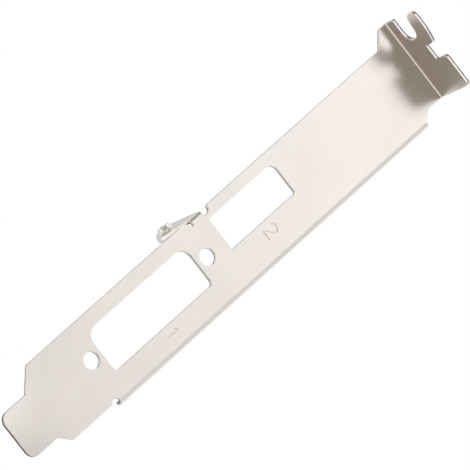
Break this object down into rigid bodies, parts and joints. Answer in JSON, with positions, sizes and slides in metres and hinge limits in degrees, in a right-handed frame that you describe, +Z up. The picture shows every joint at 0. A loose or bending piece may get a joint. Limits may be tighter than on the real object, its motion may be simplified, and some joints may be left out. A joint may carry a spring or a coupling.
{
  "type": "expansion slot bracket",
  "caption": "Full height expansion card bracket: folded plate with top lip, foot tongue, stiffening flange, port openings and a board lug with a pressed-in nut.",
  "frame": {"origin": "centre of the case screw slot, at the underside of the top lip", "axes": "+Z up the plate from the tongue to the lip; +Y from the outer face into the case; +X across the plate from the ear to the flange"},
  "size_m": [0.0212, 0.0257, 0.1201],
  "materials": {
    "plated_steel": "satin nickel plate",
    "nut_steel": "bright turned and knurled"
  },
  "bodies": {
    "root": {"bracket": "plated_steel", "lug_nut": "nut_steel"}
  },
  "joints": []
}
